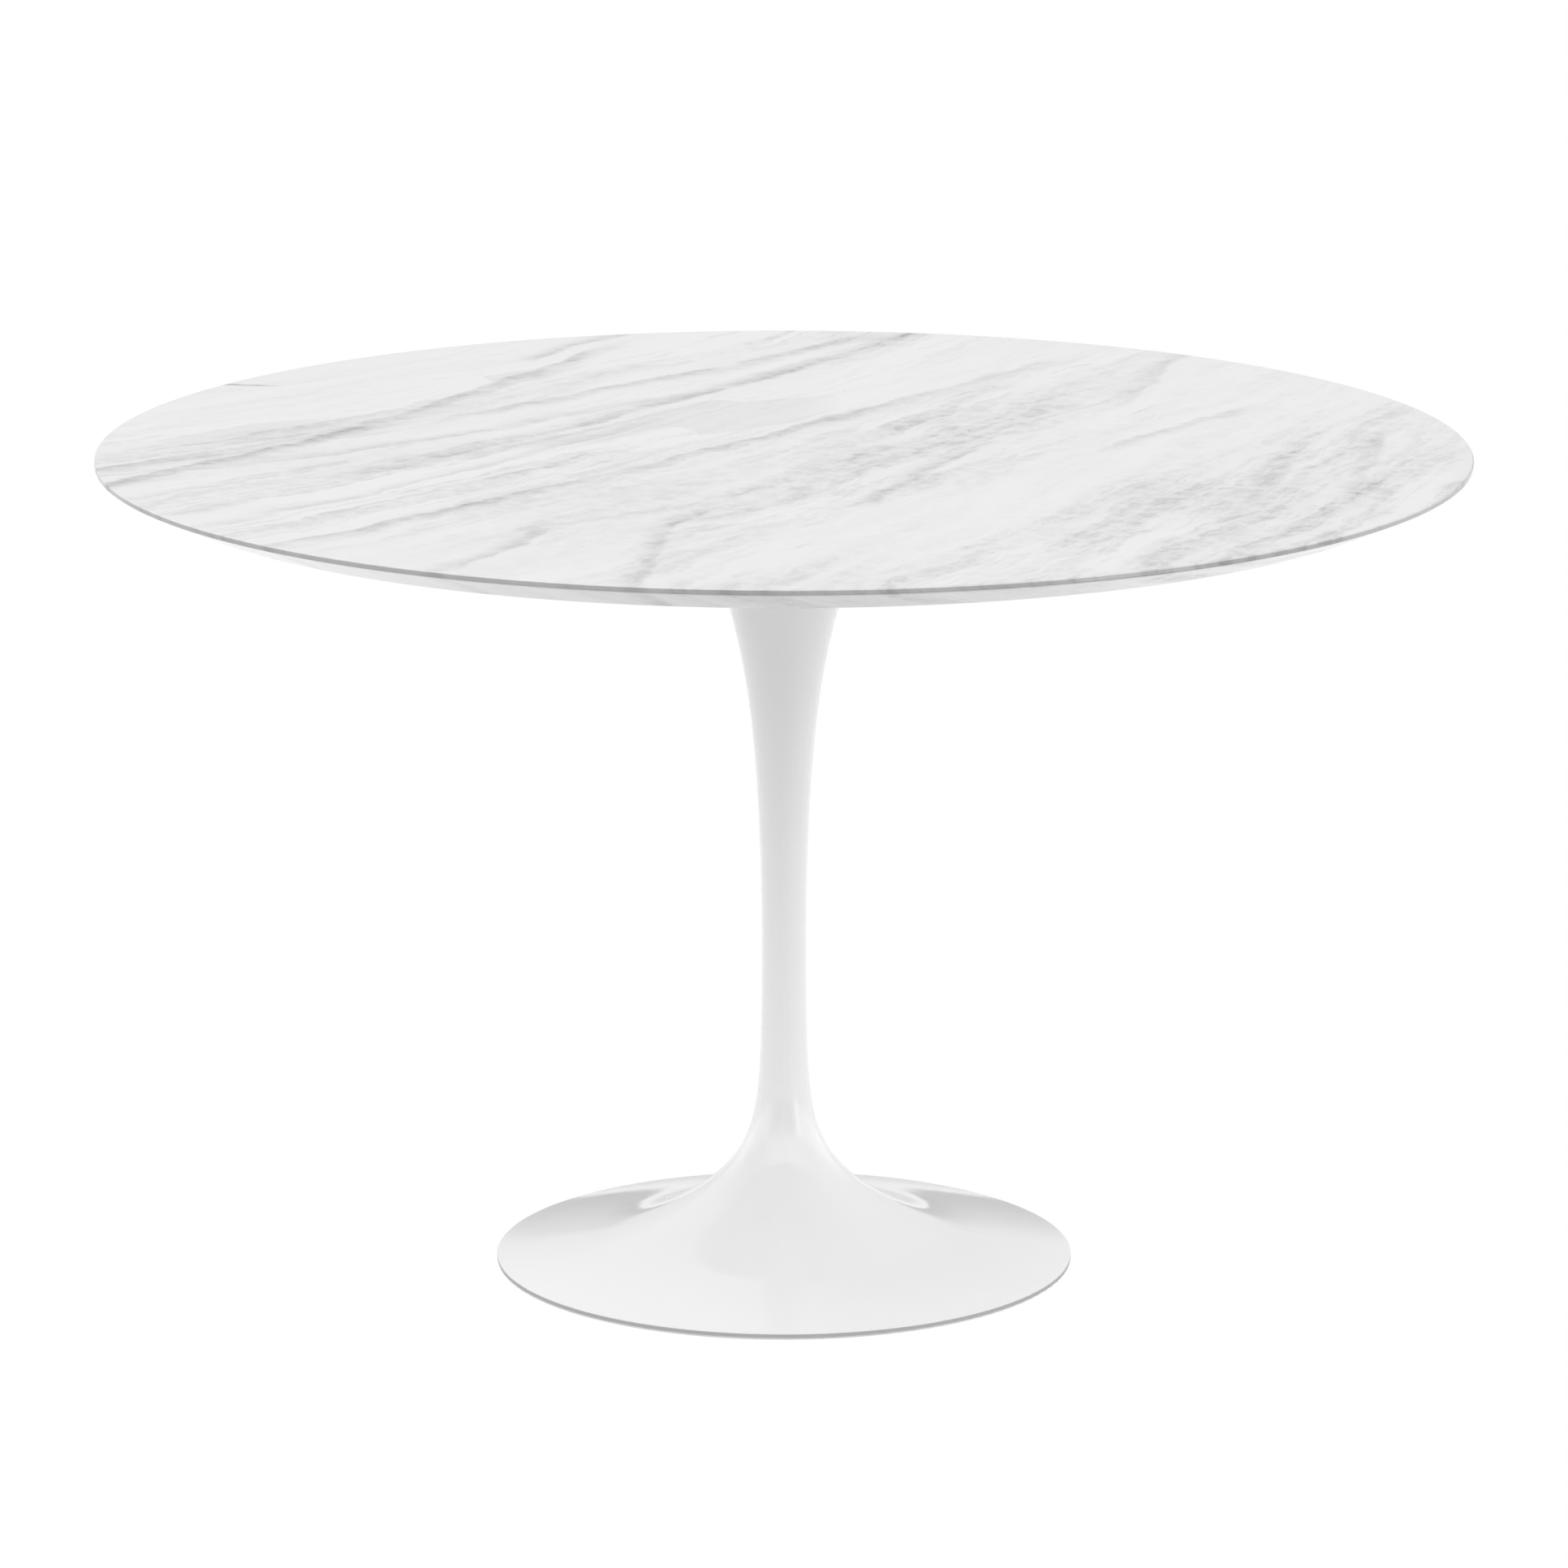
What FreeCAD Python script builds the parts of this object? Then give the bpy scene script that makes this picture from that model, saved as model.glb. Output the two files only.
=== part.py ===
import FreeCAD, Part
import math
import os
import Sketcher
from FreeCAD import Vector

# A round dining table: a bevelled stone top on a one-piece trumpet-shaped pedestal, held together by one
# tie rod. Millimetres, +Z up, the origin on the floor under the middle of the table.

# Driving dimensions. Heights are above the floor; a "_thickness" is along Z.
SIZES = (
    # stone top
    ("table_height", 730),
    ("top_radius", 597),
    ("stone_thickness", 25),
    ("edge_height", 4.5),
    ("bevel_width", 47),
    ("edge_round", 1.2),
    ("bevel_round", 4),
    # screws from the spider into the stone: two on each arm
    ("screw_near", 140),
    ("screw_far", 218),
    ("screw_radius", 4),
    ("screw_length", 25),
    ("screw_head_flats", 13),
    ("screw_head_thickness", 5.3),
    ("screw_hole_radius", 4.5),
    ("washer_radius", 10),
    ("washer_thickness", 1.6),
    ("insert_radius", 6),
    ("insert_length", 15),
    ("insert_hole_depth", 16),
    ("insert_groove_depth", 0.6),
    ("insert_groove_width", 2.5),
    # spider under the stone
    ("pad_thickness", 2),
    ("pad_hole_radius", 8),
    ("spider_thickness", 8),
    ("hub_radius", 100),
    ("arm_count", 4),
    ("arm_root", 80),
    ("arm_tip", 220),
    ("arm_half_width", 20),
    ("arm_rib_thickness", 5),
    ("arm_rib_start", 97),
    ("arm_rib_deep", 14),
    ("arm_rib_shallow", 5),
    ("boss_radius", 22),
    ("boss_thickness", 23),
    ("boss_root_round", 6),
    ("boss_roof", 4),
    ("spigot_inner_radius", 70),
    ("spigot_clearance", 0.3),
    ("spigot_thickness", 5),
    ("gasket_thickness", 1.5),
    ("gasket_inset", 1),
    # pedestal: control points of its outline, from the mouth under the spider down to the rim on the floor
    ("mouth_radius", 92),
    ("throat_radius", 64),
    ("throat_height", 648),
    ("neck_radius", 36.5),
    ("neck_height", 560),
    ("shaft_radius", 23.5),
    ("shaft_height", 450),
    ("waist_radius", 19),
    ("waist_height", 330),
    ("shin_radius", 19.5),
    ("shin_height", 220),
    ("ankle_radius", 22),
    ("ankle_height", 130),
    ("heel_radius", 50),
    ("heel_height", 74.5),
    ("arch_radius", 141),
    ("arch_height", 22),
    ("toe_radius", 190),
    ("toe_height", 20),
    ("rim_radius", 254.5),
    ("rim_height", 6.5),
    ("rim_top_round", 0.8),
    ("rim_bottom_round", 2.4),
    ("floor_gap", 1),
    ("wall", 6.2),
    ("lip_radius", 76),
    ("lip_thickness", 8),
    ("lip_bottom_reach", 8),
    ("lip_top_reach", 12),
    ("land_radius", 230),
    ("land_height", 6.5),
    # web across the foot of the stem
    ("web_height", 90),
    ("web_thickness", 12),
    ("web_bottom_radius", 43),
    ("web_top_radius", 36),
    ("rod_hole_radius", 9),
    # tie rod and what clamps it
    ("rod_radius", 8),
    ("rod_bottom", 60),
    ("rod_top_gap", 1),
    ("rod_chamfer", 1.5),
    ("nut_flats", 24),
    ("nut_thickness", 13),
    ("nut_chamfer", 1.6),
    ("washer_bore_radius", 8.5),
    ("clamp_washer_radius", 27),
    ("clamp_washer_thickness", 5),
    ("spring_washer_radius", 13.7),
    ("spring_washer_thickness", 3.5),
    ("spring_washer_angle", 352),
    # glide ring let into the underside of the rim
    ("glide_inner_radius", 238),
    ("glide_outer_radius", 246),
    ("glide_thickness", 4.2),
    ("glide_clearance", 0.15),
    ("glide_round", 0.8),
)

# Heights of the faces on which one piece rests on the next, as expressions: the table's top downwards,
STONE_BOTTOM = "(Sizes.table_height - Sizes.stone_thickness)"
PAD_BOTTOM = f"({STONE_BOTTOM} - Sizes.pad_thickness)"
SPIDER_BOTTOM = f"({PAD_BOTTOM} - Sizes.spider_thickness)"
WASHER_BOTTOM = f"({SPIDER_BOTTOM} - Sizes.washer_thickness)"
BOSS_BOTTOM = f"({SPIDER_BOTTOM} - Sizes.boss_thickness)"
MOUTH_HEIGHT = f"({SPIDER_BOTTOM} - Sizes.gasket_thickness)"
LIP_BOTTOM = f"({MOUTH_HEIGHT} - Sizes.lip_thickness)"
# and the clamped end of the tie rod downwards.
WEB_TOP = "(Sizes.web_height + Sizes.web_thickness)"
CLAMP_WASHER_BOTTOM = "(Sizes.web_height - Sizes.clamp_washer_thickness)"
SPRING_WASHER_BOTTOM = f"({CLAMP_WASHER_BOTTOM} - Sizes.spring_washer_thickness)"
ROD_TOP = f"({PAD_BOTTOM} - Sizes.boss_roof - Sizes.rod_top_gap)"

# The pedestal's outline: each control point's radius and height, and the shares of the wall by which the
# inner outline's point lies nearer the axis and lower, so that the wall keeps an even thickness.
OUTLINE = (
    ("Sizes.mouth_radius", MOUTH_HEIGHT, 1.17, 0),
    ("Sizes.throat_radius", "Sizes.throat_height", 0.92, -0.4),
    ("Sizes.neck_radius", "Sizes.neck_height", 0.98, -0.2),
    ("Sizes.shaft_radius", "Sizes.shaft_height", 1, -0.07),
    ("Sizes.waist_radius", "Sizes.waist_height", 1, 0),
    ("Sizes.shin_radius", "Sizes.shin_height", 1, 0),
    ("Sizes.ankle_radius", "Sizes.ankle_height", 0.97, 0.23),
    ("Sizes.heel_radius", "Sizes.heel_height", 0.73, 0.69),
    ("Sizes.arch_radius", "Sizes.arch_height", 0.28, 0.96),
    ("Sizes.toe_radius", "Sizes.toe_height", 0.12, 0.99),
)
SPLINE_DEGREE = 3
POLE_CIRCLE_RADIUS = 4

# How a sketch numbers the points of an element, and its own axes.
START, END, CENTRE = 1, 2, 3
X_AXIS, Y_AXIS = -1, -2

# Two places nearer than this are the same place.
TOLERANCE = 0.01


# --- sketches ---------------------------------------------------------------------------------------------


def number(sketch, expression):
    """The value that an expression has now."""
    return float(sketch.evalExpression(expression))


def add_sketch(body, name, plane, offset=None):
    """A sketch on one of the body's own origin planes, moved along the plane's normal by an expression."""
    sketch = body.newObject("Sketcher::SketchObject", name)
    support = next(item for item in body.Origin.OriginFeatures if item.Role == plane)
    sketch.AttachmentSupport = [(support, "")]
    sketch.MapMode = "FlatFace"
    if offset:
        sketch.setExpression(".AttachmentOffset.Base.z", offset)
    return sketch


def bind(sketch, kind, references, expression):
    """A constraint whose value follows an expression."""
    index = sketch.addConstraint(Sketcher.Constraint(kind, *references, number(sketch, expression)))
    sketch.setExpression(f"Constraints[{index}]", expression)


def pin(sketch, geometry, point, x, y):
    """Holds a point at two expressions; "0" means on that axis."""
    for kind, value, axis in (("DistanceX", x, Y_AXIS), ("DistanceY", y, X_AXIS)):
        if value == "0":
            sketch.addConstraint(Sketcher.Constraint("PointOnObject", geometry, point, axis))
        else:
            bind(sketch, kind, (X_AXIS, START, geometry, point), value)


def at(sketch, x, y):
    """A point of the sketch from two expressions."""
    return Vector(number(sketch, x), number(sketch, y), 0)


def join(sketch, first, second):
    """Ties the end of one element to the start of the next."""
    sketch.addConstraint(Sketcher.Constraint("Coincident", first, END, second, START))


def add_lines(sketch, corners):
    """Straight lines from corner to corner, each corner a pair of expressions and held there."""
    lines = []
    for start, end in zip(corners, corners[1:]):
        lines.append(sketch.addGeometry(Part.LineSegment(at(sketch, *start), at(sketch, *end)), False))
    for first, second in zip(lines, lines[1:]):
        join(sketch, first, second)
    return lines


def polygon(sketch, corners):
    """A closed outline of straight lines."""
    lines = add_lines(sketch, corners + corners[:1])
    join(sketch, lines[-1], lines[0])
    for line, corner in zip(lines, corners):
        pin(sketch, line, START, *corner)


def circle(sketch, radius, x="0"):
    """A circle on the X axis."""
    ring = Part.Circle(at(sketch, x, "0"), Vector(0, 0, 1), number(sketch, radius))
    curve = sketch.addGeometry(ring, False)
    pin(sketch, curve, CENTRE, x, "0")
    bind(sketch, "Radius", (curve,), radius)
    return curve


def hexagon(sketch, flats, x="0"):
    """A regular hexagon on the X axis, with two of its flats facing along Y."""
    corner_circle = circle(sketch, f"{flats} / sqrt(3)", x)
    sketch.toggleConstruction(corner_circle)
    centre = at(sketch, x, "0")
    reach = number(sketch, f"{flats} / sqrt(3)")
    corners = [centre + Vector(reach * math.cos(turn), reach * math.sin(turn), 0)
               for turn in (step * math.pi / 3 for step in range(6))]
    sides = [sketch.addGeometry(Part.LineSegment(start, end), False)
             for start, end in zip(corners, corners[1:] + corners[:1])]
    for side, following in zip(sides, sides[1:] + sides[:1]):
        join(sketch, side, following)
        sketch.addConstraint(Sketcher.Constraint("PointOnObject", side, START, corner_circle))
    for side in sides[1:]:
        sketch.addConstraint(Sketcher.Constraint("Equal", sides[0], side))
    sketch.addConstraint(Sketcher.Constraint("Horizontal", sides[1]))


def spline(sketch, poles):
    """A smooth curve through its first and last control points, each control point held in place."""
    points = [at(sketch, *pole) for pole in poles]
    shape = Part.BSplineCurve(points, None, None, False, SPLINE_DEGREE, None, False)
    curve = sketch.addGeometry(shape, False)
    marks = [sketch.addGeometry(Part.Circle(point, Vector(0, 0, 1), POLE_CIRCLE_RADIUS), True)
             for point in points]
    sketch.addConstraint(Sketcher.Constraint("Weight", marks[0], 1.0))
    for mark in marks[1:]:
        sketch.addConstraint(Sketcher.Constraint("Equal", marks[0], mark))
    kind = "InternalAlignment:Sketcher::BSplineControlPoint"
    for index, mark in enumerate(marks):
        sketch.addConstraint(Sketcher.Constraint(kind, mark, CENTRE, curve, index))
    sketch.exposeInternalGeometry(curve)
    for mark, pole in zip(marks, poles):
        pin(sketch, mark, CENTRE, *pole)
    return curve


def rectangle(sketch, left, right, bottom, top):
    """A rectangle between four expressions."""
    polygon(sketch, [(left, bottom), (right, bottom), (right, top), (left, top)])


# --- features ---------------------------------------------------------------------------------------------


def new_body(label):
    """A body for one sub-part, at the common origin."""
    body = FreeCAD.ActiveDocument.addObject("PartDesign::Body", label)
    body.Label = label
    body.Placement = FreeCAD.Placement()
    return body


def volume(body):
    """The body's volume after everything added so far."""
    FreeCAD.ActiveDocument.recompute()
    return 0 if body.Shape.isNull() else body.Shape.Volume


def add_feature(body, kind, name, sketch):
    """A sketch-based feature of a body."""
    feature = body.newObject(f"PartDesign::{kind}", name)
    feature.Profile = sketch
    sketch.Visibility = False
    return feature


def check_change(body, before, removes):
    """Stops unless the last feature really added or removed material."""
    after = volume(body)
    if (after >= before) if removes else (after <= before):
        raise RuntimeError(f"{body.Label}: the last feature changed nothing ({before:.0f} to {after:.0f})")


def extrude(body, name, sketch, length, removes=False, downwards=False):
    """Pads or pockets a sketch, upwards along Z unless told otherwise."""
    before = volume(body)
    feature = add_feature(body, "Pocket" if removes else "Pad", name, sketch)
    feature.setExpression("Length", length)
    # A pad grows along the sketch's normal and a pocket cuts against it.
    feature.Reversed = downwards != removes
    check_change(body, before, removes)
    return feature


def extrude_both_ways(body, name, sketch, thickness):
    """Pads a sketch by half the thickness on each side of its plane."""
    before = volume(body)
    feature = add_feature(body, "Pad", name, sketch)
    feature.setExpression("Length", thickness)
    feature.SideType = "Symmetric"
    check_change(body, before, False)
    return feature


def revolve(body, name, sketch, removes=False, angle=None):
    """Turns a sketch round the Z axis, adding or removing material."""
    before = volume(body)
    feature = add_feature(body, "Groove" if removes else "Revolution", name, sketch)
    feature.ReferenceAxis = (sketch, ["V_Axis"])
    feature.Angle = 360
    if angle:
        feature.setExpression("Angle", angle)
    check_change(body, before, removes)
    return feature


def repeat(body, name, features, count, sketch):
    """Repeats features evenly round the Z axis."""
    before = volume(body)
    pattern = body.newObject("PartDesign::PolarPattern", name)
    pattern.Originals = features
    pattern.Axis = (sketch, ["N_Axis"])
    pattern.Angle = 360
    pattern.setExpression("Occurrences", count)
    body.Tip = pattern
    if volume(body) == before:
        raise RuntimeError(f"{body.Label}: {name} repeated nothing")
    return pattern


def ring_edges(shape, radius, height):
    """Names of the circular edges round the Z axis that have one radius and height."""
    names = []
    for index, edge in enumerate(shape.Edges, 1):
        if not isinstance(edge.Curve, Part.Circle):
            continue
        error = edge.Curve.Center - Vector(0, 0, height)
        if error.Length < TOLERANCE and abs(edge.Curve.Radius - radius) < TOLERANCE:
            names.append(f"Edge{index}")
    return names


def round_ring(body, name, places, amount, kind="Fillet"):
    """Rounds or chamfers circular edges, each place a pair of expressions for radius and height."""
    base = body.Tip
    edges = []
    for radius, height in places:
        edges += ring_edges(base.Shape, number(base, radius), number(base, height))
    if len(edges) < len(places):
        raise RuntimeError(f"{body.Label}: {name} found {len(edges)} edges for {len(places)} places")
    feature = body.newObject(f"PartDesign::{kind}", name)
    feature.Base = (base, edges)
    feature.setExpression("Radius" if kind == "Fillet" else "Size", amount)
    FreeCAD.ActiveDocument.recompute()
    return feature


# --- stone top and its inserts ----------------------------------------------------------------------------


def screw_circles(sketch, radius):
    """One arm's two screw places as circles."""
    for place in ("Sizes.screw_near", "Sizes.screw_far"):
        circle(sketch, radius, place)


def stone_top():
    """The slab: flat above, its underside bevelled out to a thin upright edge, with blind insert holes."""
    body = new_body("stone_top")
    profile = add_sketch(body, "SlabProfile", "XZ_Plane")
    bevel_start = "Sizes.top_radius - Sizes.bevel_width"
    nose_bottom = "Sizes.table_height - Sizes.edge_height"
    polygon(profile, [
        ("0", STONE_BOTTOM),
        (bevel_start, STONE_BOTTOM),
        ("Sizes.top_radius", nose_bottom),
        ("Sizes.top_radius", "Sizes.table_height"),
        ("0", "Sizes.table_height"),
    ])
    revolve(body, "Slab", profile)
    nose = [("Sizes.top_radius", "Sizes.table_height"), ("Sizes.top_radius", nose_bottom)]
    round_ring(body, "NoseRounds", nose, "Sizes.edge_round")
    round_ring(body, "BevelRound", [(bevel_start, STONE_BOTTOM)], "Sizes.bevel_round")
    holes = add_sketch(body, "InsertHoles", "XY_Plane", STONE_BOTTOM)
    screw_circles(holes, "Sizes.insert_radius")
    drilled = extrude(body, "InsertHole", holes, "Sizes.insert_hole_depth", removes=True)
    repeat(body, "InsertHolePattern", [drilled], "Sizes.arm_count", holes)
    return body


def stone_inserts():
    """Threaded brass inserts bonded into the stone, each with a groove that keys it into the adhesive."""
    body = new_body("stone_inserts")
    section = add_sketch(body, "InsertSection", "XY_Plane", STONE_BOTTOM)
    screw_circles(section, "Sizes.insert_radius")
    screw_circles(section, "Sizes.screw_radius")
    sleeve = extrude(body, "Sleeve", section, "Sizes.insert_length")
    middle = f"{STONE_BOTTOM} + (Sizes.insert_length - Sizes.insert_groove_width) / 2"
    key = add_sketch(body, "KeySection", "XY_Plane", middle)
    screw_circles(key, "Sizes.insert_radius")
    screw_circles(key, "Sizes.insert_radius - Sizes.insert_groove_depth")
    keyway = extrude(body, "KeyGroove", key, "Sizes.insert_groove_width", removes=True)
    repeat(body, "InsertPattern", [sleeve, keyway], "Sizes.arm_count", section)
    return body


# --- spider, its pad and its screws -----------------------------------------------------------------------


def star_plate(body, bottom, thickness, hole_radius):
    """A flat plate: a round hub, round-ended arms and the screw holes, as the features of one arm."""
    hub = add_sketch(body, "HubOutline", "XY_Plane", bottom)
    circle(hub, "Sizes.hub_radius")
    extrude(body, "Hub", hub, thickness)
    arm = add_sketch(body, "ArmOutline", "XY_Plane", bottom)
    lower, upper = "-Sizes.arm_half_width", "Sizes.arm_half_width"
    corners = [("Sizes.arm_tip", upper), ("Sizes.arm_root", upper), ("Sizes.arm_root", lower),
               ("Sizes.arm_tip", lower)]
    sides = add_lines(arm, corners)
    for side, corner in zip(sides, corners):
        pin(arm, side, START, *corner)
    pin(arm, sides[-1], END, *corners[-1])
    turn = math.pi / 2
    tip_circle = Part.Circle(at(arm, "Sizes.arm_tip", "0"), Vector(0, 0, 1), number(arm, upper))
    tip = arm.addGeometry(Part.ArcOfCircle(tip_circle, -turn, turn), False)
    arm.addConstraint(Sketcher.Constraint("Coincident", sides[-1], END, tip, START))
    arm.addConstraint(Sketcher.Constraint("Coincident", tip, END, sides[0], START))
    bind(arm, "DistanceX", (X_AXIS, START, tip, CENTRE), "Sizes.arm_tip")
    arm_pad = extrude(body, "Arm", arm, thickness)
    holes = add_sketch(body, "ScrewHoles", "XY_Plane", bottom)
    screw_circles(holes, hole_radius)
    drilled = extrude(body, "ScrewHole", holes, thickness, removes=True)
    return [arm_pad, drilled], holes


def arm_ribs(body):
    """The two tapering ribs that stiffen the long edges of one arm, from the pedestal's mouth outwards."""
    ribs = []
    for name, side in (("LeftRib", 1), ("RightRib", -1)):
        offset = f"{side} * (Sizes.arm_half_width - Sizes.arm_rib_thickness / 2)"
        profile = add_sketch(body, f"{name}Profile", "XZ_Plane", offset)
        polygon(profile, [
            ("Sizes.arm_rib_start", SPIDER_BOTTOM),
            ("Sizes.arm_rib_start", f"{SPIDER_BOTTOM} - Sizes.arm_rib_deep"),
            ("Sizes.arm_tip", f"{SPIDER_BOTTOM} - Sizes.arm_rib_shallow"),
            ("Sizes.arm_tip", SPIDER_BOTTOM),
        ])
        ribs.append(extrude_both_ways(body, name, profile, "Sizes.arm_rib_thickness"))
    return ribs


def top_spider():
    """The cast bracket that carries the stone: hub, four ribbed arms, a spigot and a blind threaded boss."""
    body = new_body("top_spider")
    arm_features, holes = star_plate(body, SPIDER_BOTTOM, "Sizes.spider_thickness", "Sizes.screw_hole_radius")
    arm_features += arm_ribs(body)
    repeat(body, "ArmPattern", arm_features, "Sizes.arm_count", holes)
    spigot = add_sketch(body, "SpigotOutline", "XY_Plane", SPIDER_BOTTOM)
    circle(spigot, "Sizes.lip_radius - Sizes.spigot_clearance")
    circle(spigot, "Sizes.spigot_inner_radius")
    extrude(body, "Spigot", spigot, "Sizes.spigot_thickness", downwards=True)
    boss = add_sketch(body, "BossOutline", "XY_Plane", SPIDER_BOTTOM)
    circle(boss, "Sizes.boss_radius")
    extrude(body, "Boss", boss, "Sizes.boss_thickness", downwards=True)
    round_ring(body, "BossRoot", [("Sizes.boss_radius", SPIDER_BOTTOM)], "Sizes.boss_root_round")
    bore = add_sketch(body, "RodHole", "XY_Plane", BOSS_BOTTOM)
    circle(bore, "Sizes.rod_radius")
    depth = "Sizes.boss_thickness + Sizes.spider_thickness - Sizes.boss_roof"
    extrude(body, "ThreadedHole", bore, depth, removes=True)
    return body


def spider_pad():
    """The thin rubber pad between the spider and the stone, cut to the spider's outline."""
    body = new_body("spider_pad")
    arm_features, holes = star_plate(body, PAD_BOTTOM, "Sizes.pad_thickness", "Sizes.pad_hole_radius")
    repeat(body, "ArmPattern", arm_features, "Sizes.arm_count", holes)
    return body


def spider_screws():
    """Hexagon-headed screws, two on each arm, up through the spider into the inserts."""
    body = new_body("spider_screws")
    heads = add_sketch(body, "HeadOutline", "XY_Plane", WASHER_BOTTOM)
    for place in ("Sizes.screw_near", "Sizes.screw_far"):
        hexagon(heads, "Sizes.screw_head_flats", place)
    head = extrude(body, "Head", heads, "Sizes.screw_head_thickness", downwards=True)
    shanks = add_sketch(body, "ShankOutline", "XY_Plane", WASHER_BOTTOM)
    screw_circles(shanks, "Sizes.screw_radius")
    shank = extrude(body, "Shank", shanks, "Sizes.screw_length")
    repeat(body, "ScrewPattern", [head, shank], "Sizes.arm_count", shanks)
    return body


def spider_washers():
    """A plain washer under each screw head."""
    body = new_body("spider_washers")
    rings = add_sketch(body, "WasherOutline", "XY_Plane", WASHER_BOTTOM)
    screw_circles(rings, "Sizes.washer_radius")
    screw_circles(rings, "Sizes.screw_hole_radius")
    ring = extrude(body, "Washer", rings, "Sizes.washer_thickness")
    repeat(body, "WasherPattern", [ring], "Sizes.arm_count", rings)
    return body


# --- pedestal and glide -----------------------------------------------------------------------------------


def closed_outline(sketch, poles, corners):
    """A closed outline: a spline down through the poles, then straight lines back by the corners."""
    curve = spline(sketch, poles)
    lines = add_lines(sketch, [poles[-1]] + corners + [poles[0]])
    join(sketch, curve, lines[0])
    join(sketch, lines[-1], curve)
    for line, corner in zip(lines[1:], corners):
        pin(sketch, line, START, *corner)


def pedestal_skin(body):
    """The outer form, solid: trumpet mouth, slim waist, and a wide foot with a thin upright rim."""
    profile = add_sketch(body, "SkinProfile", "XZ_Plane")
    poles = [(radius, height) for radius, height, _, _ in OUTLINE]
    poles.append(("Sizes.rim_radius", "Sizes.rim_height"))
    corners = [
        ("Sizes.rim_radius", "Sizes.floor_gap"),
        ("0", "Sizes.floor_gap"),
        ("0", MOUTH_HEIGHT),
    ]
    closed_outline(profile, poles, corners)
    revolve(body, "Skin", profile)
    round_ring(body, "RimTop", [("Sizes.rim_radius", "Sizes.rim_height")], "Sizes.rim_top_round")
    round_ring(body, "RimBottom", [("Sizes.rim_radius", "Sizes.floor_gap")], "Sizes.rim_bottom_round")


def pedestal_core(body):
    """Hollows the casting along an inner outline that leaves the wall, and a solid land inside the rim."""
    profile = add_sketch(body, "CoreProfile", "XZ_Plane")
    poles = [(f"{radius} - {inward} * Sizes.wall", f"{height} - {lower} * Sizes.wall")
             for radius, height, inward, lower in OUTLINE]
    poles.append(("Sizes.land_radius", "Sizes.land_height"))
    corners = [("Sizes.land_radius", "0"), ("0", "0"), ("0", MOUTH_HEIGHT)]
    closed_outline(profile, poles, corners)
    revolve(body, "Core", profile, removes=True)


def pedestal_casting():
    """The one-piece hollow casting, with a lip at its mouth and a web that the tie rod pulls on."""
    body = new_body("pedestal_casting")
    pedestal_skin(body)
    pedestal_core(body)
    lip = add_sketch(body, "LipProfile", "XZ_Plane")
    polygon(lip, [
        ("Sizes.lip_radius", LIP_BOTTOM),
        ("Sizes.lip_radius + Sizes.lip_bottom_reach", LIP_BOTTOM),
        ("Sizes.lip_radius + Sizes.lip_top_reach", MOUTH_HEIGHT),
        ("Sizes.lip_radius", MOUTH_HEIGHT),
    ])
    revolve(body, "Lip", lip)
    web = add_sketch(body, "WebProfile", "XZ_Plane")
    polygon(web, [
        ("0", "Sizes.web_height"),
        ("Sizes.web_bottom_radius", "Sizes.web_height"),
        ("Sizes.web_top_radius", WEB_TOP),
        ("0", WEB_TOP),
    ])
    revolve(body, "Web", web)
    rod_hole = add_sketch(body, "RodHole", "XY_Plane", "Sizes.web_height")
    circle(rod_hole, "Sizes.rod_hole_radius")
    extrude(body, "RodPassage", rod_hole, "Sizes.web_thickness", removes=True)
    seat = add_sketch(body, "GlideSeat", "XZ_Plane")
    rectangle(seat, "Sizes.glide_inner_radius", "Sizes.glide_outer_radius", "0", "Sizes.glide_thickness")
    revolve(body, "GlideGroove", seat, removes=True)
    return body


def glide_ring():
    """The ring that the table stands on, let into the groove under the rim."""
    body = new_body("glide_ring")
    profile = add_sketch(body, "GlideProfile", "XZ_Plane")
    inner = "Sizes.glide_inner_radius + Sizes.glide_clearance"
    outer = "Sizes.glide_outer_radius - Sizes.glide_clearance"
    rectangle(profile, inner, outer, "0", "Sizes.glide_thickness")
    revolve(body, "Glide", profile)
    round_ring(body, "GlideRounds", [(inner, "0"), (outer, "0")], "Sizes.glide_round")
    return body


def mouth_gasket():
    """The thin ring between the pedestal's mouth and the spider's hub."""
    body = new_body("mouth_gasket")
    ring = add_sketch(body, "GasketOutline", "XY_Plane", MOUTH_HEIGHT)
    circle(ring, "Sizes.mouth_radius - Sizes.gasket_inset")
    circle(ring, "Sizes.lip_radius + Sizes.gasket_inset")
    extrude(body, "Gasket", ring, "Sizes.gasket_thickness")
    return body


# --- tie rod and its clamp --------------------------------------------------------------------------------


def tie_rod():
    """The steel rod down the middle, threaded into the spider's boss and pulled tight under the web."""
    body = new_body("tie_rod")
    section = add_sketch(body, "RodSection", "XY_Plane", "Sizes.rod_bottom")
    circle(section, "Sizes.rod_radius")
    extrude(body, "Rod", section, f"{ROD_TOP} - Sizes.rod_bottom")
    ends = [("Sizes.rod_radius", "Sizes.rod_bottom"), ("Sizes.rod_radius", ROD_TOP)]
    round_ring(body, "RodChamfers", ends, "Sizes.rod_chamfer", "Chamfer")
    return body


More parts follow.
